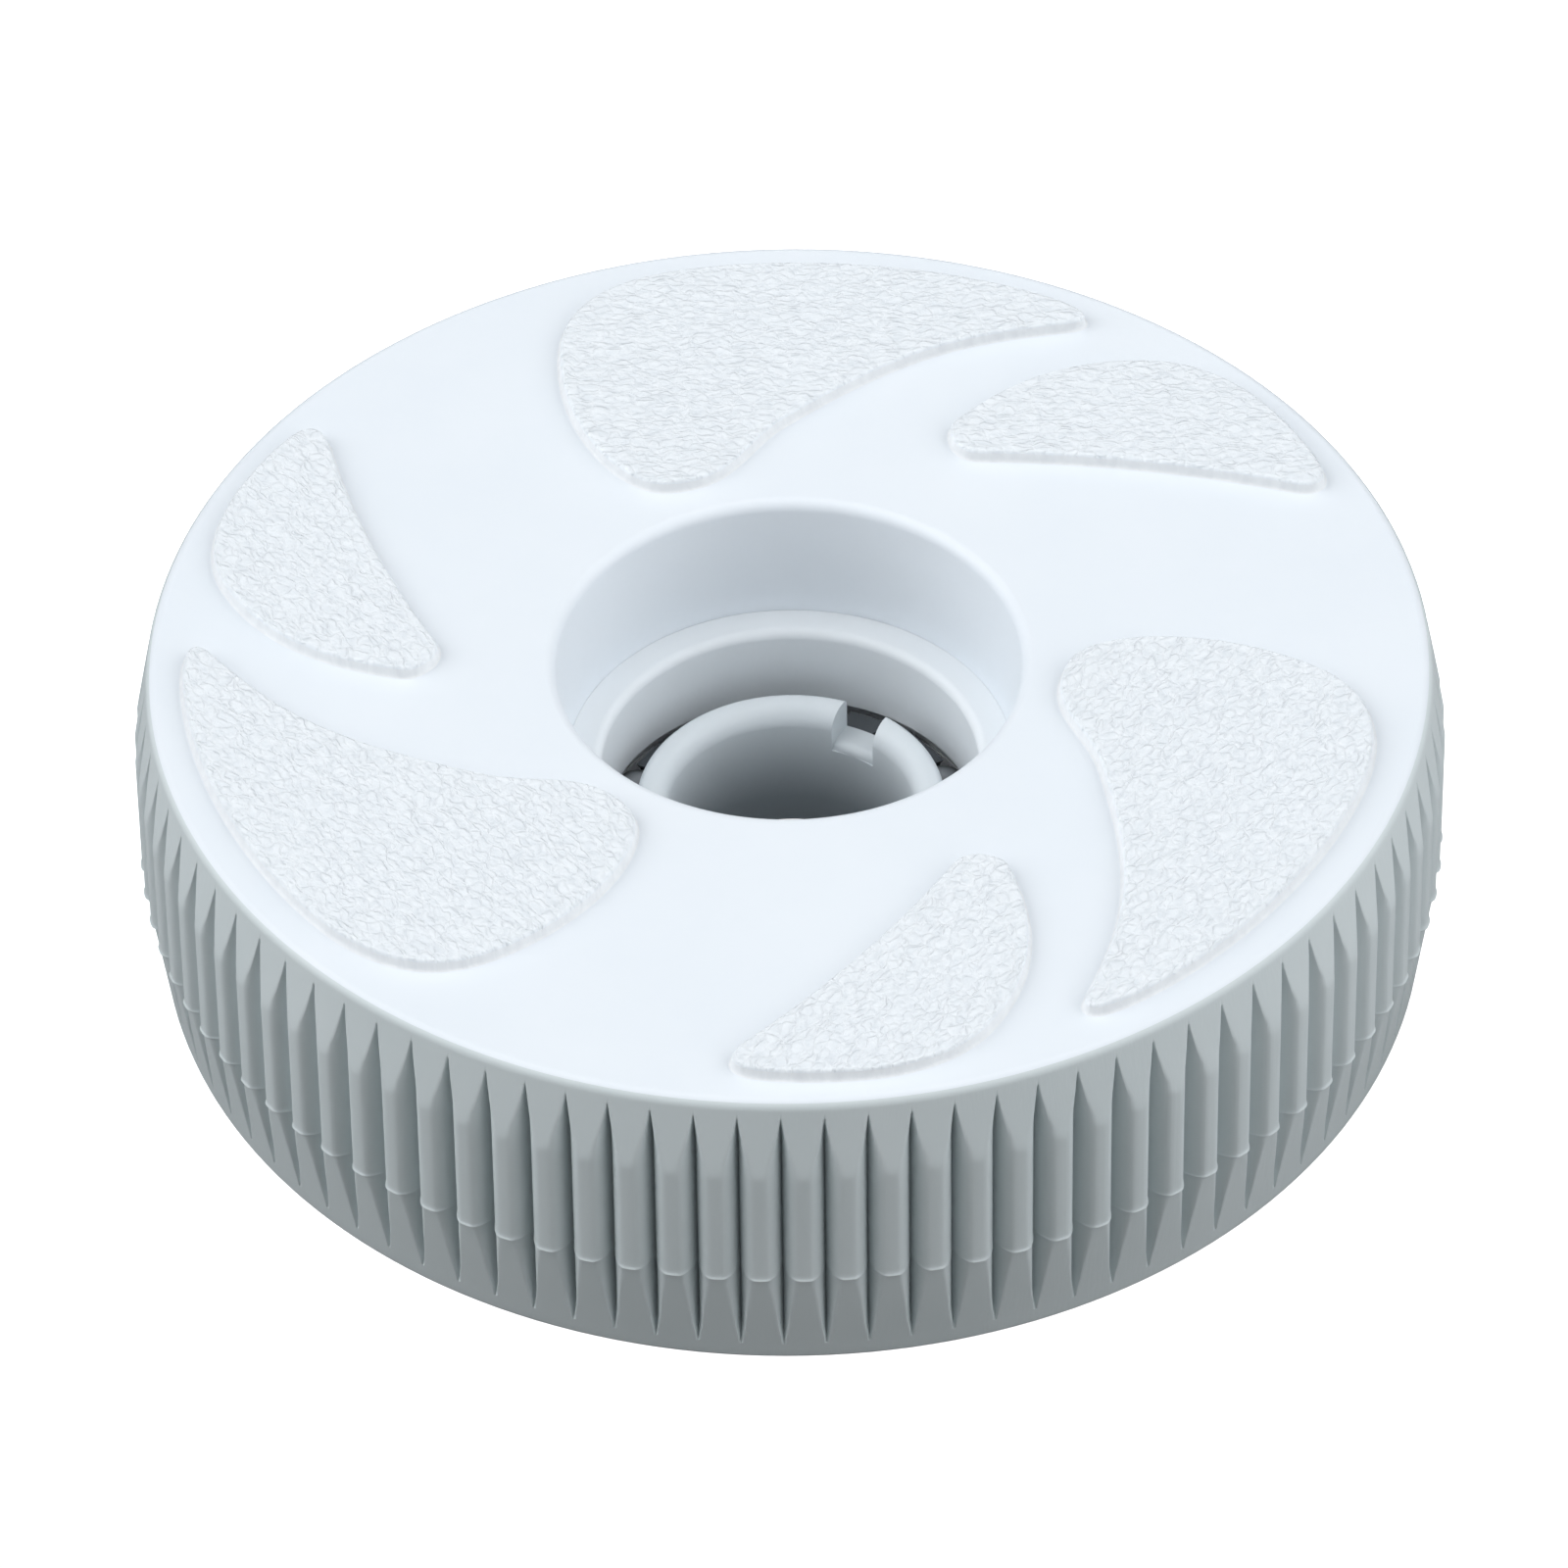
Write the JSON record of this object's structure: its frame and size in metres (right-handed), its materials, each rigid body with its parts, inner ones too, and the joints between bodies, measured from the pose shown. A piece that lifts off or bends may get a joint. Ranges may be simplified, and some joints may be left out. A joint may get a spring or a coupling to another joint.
{
  "type": "pool cleaner idler wheel",
  "caption": "White plastic idler wheel with a ribbed tread, raised swirl pads on its face and a ball bearing in its recessed hub.",
  "frame": {"origin": "centre of the back rim's plane, on the wheel's axis", "axes": "+Z along the wheel's axis, out of the padded front face; the wheel lies on its back rim; +Y through the middle of one large pad"},
  "size_m": [0.12, 0.12, 0.0329],
  "materials": {
    "wheel_polymer": "satin moulded white polymer, leather grain on the raised pads",
    "race_polymer": "smooth satin moulded polymer",
    "cage_polymer": "matte grey polymer",
    "ball_steel": "polished stainless steel"
  },
  "bodies": {
    "axle_sleeve": {"bearing_inner_race": "race_polymer"},
    "wheel": {"wheel_body": "wheel_polymer", "bearing_outer_race_front": "race_polymer", "bearing_outer_race_back": "race_polymer"},
    "ball_cage": {"bearing_cage": "cage_polymer"},
    "ball_01": {"bearing_ball_01": "ball_steel"},
    "ball_02": {"bearing_ball_02": "ball_steel"},
    "ball_03": {"bearing_ball_03": "ball_steel"},
    "ball_04": {"bearing_ball_04": "ball_steel"},
    "ball_05": {"bearing_ball_05": "ball_steel"},
    "ball_06": {"bearing_ball_06": "ball_steel"},
    "ball_07": {"bearing_ball_07": "ball_steel"},
    "ball_08": {"bearing_ball_08": "ball_steel"},
    "ball_09": {"bearing_ball_09": "ball_steel"},
    "ball_10": {"bearing_ball_10": "ball_steel"},
    "ball_11": {"bearing_ball_11": "ball_steel"},
    "ball_12": {"bearing_ball_12": "ball_steel"},
    "ball_13": {"bearing_ball_13": "ball_steel"},
    "ball_14": {"bearing_ball_14": "ball_steel"}
  },
  "joints": [
    {"name": "wheel_spin", "type": "hinge", "parent": "axle_sleeve", "child": "wheel", "pos_m": [0, 0, 0.0086], "axis": [0, 0, 1], "continuous": true},
    {"name": "cage_orbit", "type": "hinge", "parent": "axle_sleeve", "child": "ball_cage", "pos_m": [0, 0, 0.0086], "axis": [0, 0, 1], "continuous": true},
    {"name": "ball_spin_01", "type": "hinge", "parent": "ball_cage", "child": "ball_01", "pos_m": [0.01575, 0, 0.0086], "axis": [0, 0, 1], "continuous": true},
    {"name": "ball_spin_02", "type": "hinge", "parent": "ball_cage", "child": "ball_02", "pos_m": [0.01419, 0.00683, 0.0086], "axis": [0, 0, 1], "continuous": true},
    {"name": "ball_spin_03", "type": "hinge", "parent": "ball_cage", "child": "ball_03", "pos_m": [0.00982, 0.01231, 0.0086], "axis": [0, 0, 1], "continuous": true},
    {"name": "ball_spin_04", "type": "hinge", "parent": "ball_cage", "child": "ball_04", "pos_m": [0.0035, 0.01536, 0.0086], "axis": [0, 0, 1], "continuous": true},
    {"name": "ball_spin_05", "type": "hinge", "parent": "ball_cage", "child": "ball_05", "pos_m": [-0.0035, 0.01536, 0.0086], "axis": [0, 0, 1], "continuous": true},
    {"name": "ball_spin_06", "type": "hinge", "parent": "ball_cage", "child": "ball_06", "pos_m": [-0.00982, 0.01231, 0.0086], "axis": [0, 0, 1], "continuous": true},
    {"name": "ball_spin_07", "type": "hinge", "parent": "ball_cage", "child": "ball_07", "pos_m": [-0.01419, 0.00683, 0.0086], "axis": [0, 0, 1], "continuous": true},
    {"name": "ball_spin_08", "type": "hinge", "parent": "ball_cage", "child": "ball_08", "pos_m": [-0.01575, 0, 0.0086], "axis": [0, 0, 1], "continuous": true},
    {"name": "ball_spin_09", "type": "hinge", "parent": "ball_cage", "child": "ball_09", "pos_m": [-0.01419, -0.00683, 0.0086], "axis": [0, 0, 1], "continuous": true},
    {"name": "ball_spin_10", "type": "hinge", "parent": "ball_cage", "child": "ball_10", "pos_m": [-0.00982, -0.01231, 0.0086], "axis": [0, 0, 1], "continuous": true},
    {"name": "ball_spin_11", "type": "hinge", "parent": "ball_cage", "child": "ball_11", "pos_m": [-0.0035, -0.01536, 0.0086], "axis": [0, 0, 1], "continuous": true},
    {"name": "ball_spin_12", "type": "hinge", "parent": "ball_cage", "child": "ball_12", "pos_m": [0.0035, -0.01536, 0.0086], "axis": [0, 0, 1], "continuous": true},
    {"name": "ball_spin_13", "type": "hinge", "parent": "ball_cage", "child": "ball_13", "pos_m": [0.00982, -0.01231, 0.0086], "axis": [0, 0, 1], "continuous": true},
    {"name": "ball_spin_14", "type": "hinge", "parent": "ball_cage", "child": "ball_14", "pos_m": [0.01419, -0.00683, 0.0086], "axis": [0, 0, 1], "continuous": true}
  ],
  "couplings": [
    {"joint": "cage_orbit", "follows": "wheel_spin", "ratio": 0.57556},
    {"joint": "ball_spin_01", "follows": "wheel_spin", "ratio": 3.2333},
    {"joint": "ball_spin_02", "follows": "wheel_spin", "ratio": 3.2333},
    {"joint": "ball_spin_03", "follows": "wheel_spin", "ratio": 3.2333},
    {"joint": "ball_spin_04", "follows": "wheel_spin", "ratio": 3.2333},
    {"joint": "ball_spin_05", "follows": "wheel_spin", "ratio": 3.2333},
    {"joint": "ball_spin_06", "follows": "wheel_spin", "ratio": 3.2333},
    {"joint": "ball_spin_07", "follows": "wheel_spin", "ratio": 3.2333},
    {"joint": "ball_spin_08", "follows": "wheel_spin", "ratio": 3.2333},
    {"joint": "ball_spin_09", "follows": "wheel_spin", "ratio": 3.2333},
    {"joint": "ball_spin_10", "follows": "wheel_spin", "ratio": 3.2333},
    {"joint": "ball_spin_11", "follows": "wheel_spin", "ratio": 3.2333},
    {"joint": "ball_spin_12", "follows": "wheel_spin", "ratio": 3.2333},
    {"joint": "ball_spin_13", "follows": "wheel_spin", "ratio": 3.2333},
    {"joint": "ball_spin_14", "follows": "wheel_spin", "ratio": 3.2333}
  ]
}
